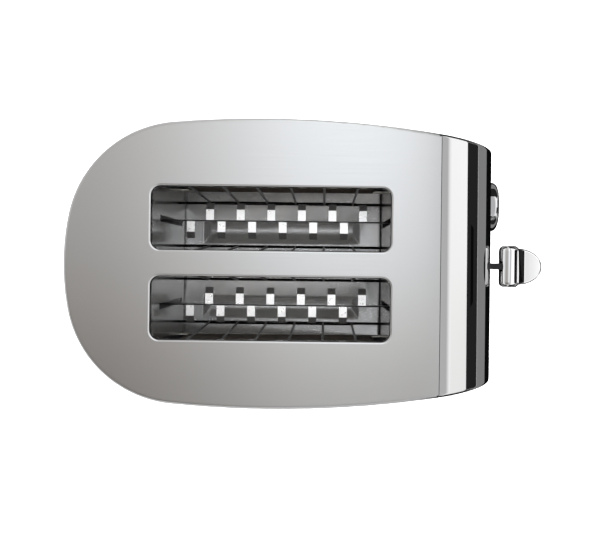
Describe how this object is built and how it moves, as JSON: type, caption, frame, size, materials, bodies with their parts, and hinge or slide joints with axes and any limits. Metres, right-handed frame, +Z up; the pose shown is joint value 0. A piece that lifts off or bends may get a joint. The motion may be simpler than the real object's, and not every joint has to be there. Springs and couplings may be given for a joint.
{
  "type": "two-slot toaster",
  "caption": "Counter-top toaster with a D-shaped polished steel body, long bread slots, lift lever, browning knob, stop button and slide-out crumb tray",
  "frame": {"origin": "on the surface the toaster stands on, under the middle of its whole length and width", "axes": "+X along the length towards the lever and controls, +Y towards the browning knob side, +Z up"},
  "size_m": [0.296, 0.1752, 0.19],
  "materials": {
    "brushed_top": "satin stainless steel sheet",
    "polished_front": "mirror polished stainless steel sheet",
    "satin_wall": "satin stainless steel sheet",
    "base_plastic": "moulded black heat-resistant plastic",
    "foot_rubber": "black rubber",
    "screw_steel": "zinc plated steel",
    "oven_steel": "aluminised steel sheet",
    "reflector_steel": "bright aluminised steel sheet",
    "mica": "pressed mica sheet",
    "heating_wire": "oxidised nickel chromium wire",
    "guard_wire": "plated steel wire",
    "rack_steel": "bright stainless steel strip",
    "carriage_steel": "zinc plated steel",
    "stem_steel": "blackened steel",
    "bush_plastic": "low-friction natural plastic",
    "rod_steel": "ground steel",
    "spring_steel": "spring steel wire",
    "lever_chrome": "chromed die casting",
    "knob_chrome": "chromed plastic",
    "black_plastic": "moulded black plastic",
    "coil_copper": "enamelled copper winding",
    "magnet_iron": "soft iron",
    "board_laminate": "paper laminate circuit board",
    "component_body": "moulded component bodies",
    "button_chrome": "chromed plastic",
    "tray_steel": "bright steel sheet",
    "terminal_plastic": "white ceramic-filled plastic",
    "lead_insulation": "glass braid over wire"
  },
  "bodies": {
    "root": {"top_panel": "brushed_top", "front_fascia": "polished_front", "body_wrap": "satin_wall", "base_pan": "base_plastic", "rubber_feet": "foot_rubber", "base_screws": "screw_steel", "rear_oven_plate": "oven_steel", "front_oven_plate": "oven_steel", "left_reflector": "reflector_steel", "right_reflector": "reflector_steel", "left_heater_board": "mica", "centre_heater_board": "mica", "right_heater_board": "mica", "left_heater_winding": "heating_wire", "centre_heater_winding": "heating_wire", "right_heater_winding": "heating_wire", "guide_rod": "rod_steel", "rod_bracket": "oven_steel", "lift_spring": "spring_steel", "lever_slot_liner": "black_plastic", "latch_core": "magnet_iron", "latch_coil": "coil_copper", "control_board": "board_laminate", "board_components": "component_body", "browning_pot": "component_body", "pot_nut": "screw_steel", "button_guide": "black_plastic", "cancel_switch": "component_body", "cord_bushing": "foot_rubber", "terminal_block": "terminal_plastic", "internal_leads": "lead_insulation"},
    "carriage": {"left_bread_rack": "rack_steel", "right_bread_rack": "rack_steel", "rear_rack_link": "carriage_steel", "carriage_plate": "carriage_steel", "carriage_bush": "bush_plastic", "lever_arm": "stem_steel", "lever_knob": "lever_chrome", "latch_keeper": "magnet_iron"},
    "left_outer_guard": {"left_slot_outer_guard": "guard_wire"},
    "left_inner_guard": {"left_slot_inner_guard": "guard_wire"},
    "right_inner_guard": {"right_slot_inner_guard": "guard_wire"},
    "right_outer_guard": {"right_slot_outer_guard": "guard_wire"},
    "browning_control": {"browning_knob": "knob_chrome", "pot_shaft": "rod_steel"},
    "stop_button": {"cancel_button": "button_chrome"},
    "tray": {"crumb_tray": "tray_steel", "crumb_tray_handle": "black_plastic"}
  },
  "joints": [
    {"name": "carriage_slide", "type": "slide", "parent": "root", "child": "carriage", "axis": [0, 0, 1], "range_m": [-0.05, 0], "stiffness_N_per_m": 150, "springref_m": 0.03, "deforming": ["lift_spring"]},
    {"name": "left_outer_guard_tilt", "type": "hinge", "parent": "root", "child": "left_outer_guard", "pos_m": [-0.023, -0.0439, 0.068], "axis": [1, 0, 0], "range_deg": [-5.5, 0]},
    {"name": "left_inner_guard_tilt", "type": "hinge", "parent": "root", "child": "left_inner_guard", "pos_m": [-0.023, -0.0122, 0.068], "axis": [1, 0, 0], "range_deg": [0, 5.5]},
    {"name": "right_inner_guard_tilt", "type": "hinge", "parent": "root", "child": "right_inner_guard", "pos_m": [-0.023, 0.0122, 0.068], "axis": [1, 0, 0], "range_deg": [-5.5, 0]},
    {"name": "right_outer_guard_tilt", "type": "hinge", "parent": "root", "child": "right_outer_guard", "pos_m": [-0.023, 0.0439, 0.068], "axis": [1, 0, 0], "range_deg": [0, 5.5]},
    {"name": "browning_turn", "type": "hinge", "parent": "root", "child": "browning_control", "pos_m": [0.115, 0.0403, 0.118], "axis": [1, 0, 0], "range_deg": [-135, 135]},
    {"name": "stop_press", "type": "slide", "parent": "root", "child": "stop_button", "axis": [-1, 0, 0], "range_m": [0, 0.0025], "stiffness_N_per_m": 300, "springref_m": -0.003},
    {"name": "tray_pull", "type": "slide", "parent": "root", "child": "tray", "axis": [-1, 0, 0], "range_m": [0, 0.19]}
  ],
  "couplings": [
    {"joint": "left_outer_guard_tilt", "follows": "carriage_slide", "rad_per_m": 1.9},
    {"joint": "left_inner_guard_tilt", "follows": "carriage_slide", "rad_per_m": -1.9},
    {"joint": "right_inner_guard_tilt", "follows": "carriage_slide", "rad_per_m": 1.9},
    {"joint": "right_outer_guard_tilt", "follows": "carriage_slide", "rad_per_m": -1.9}
  ]
}
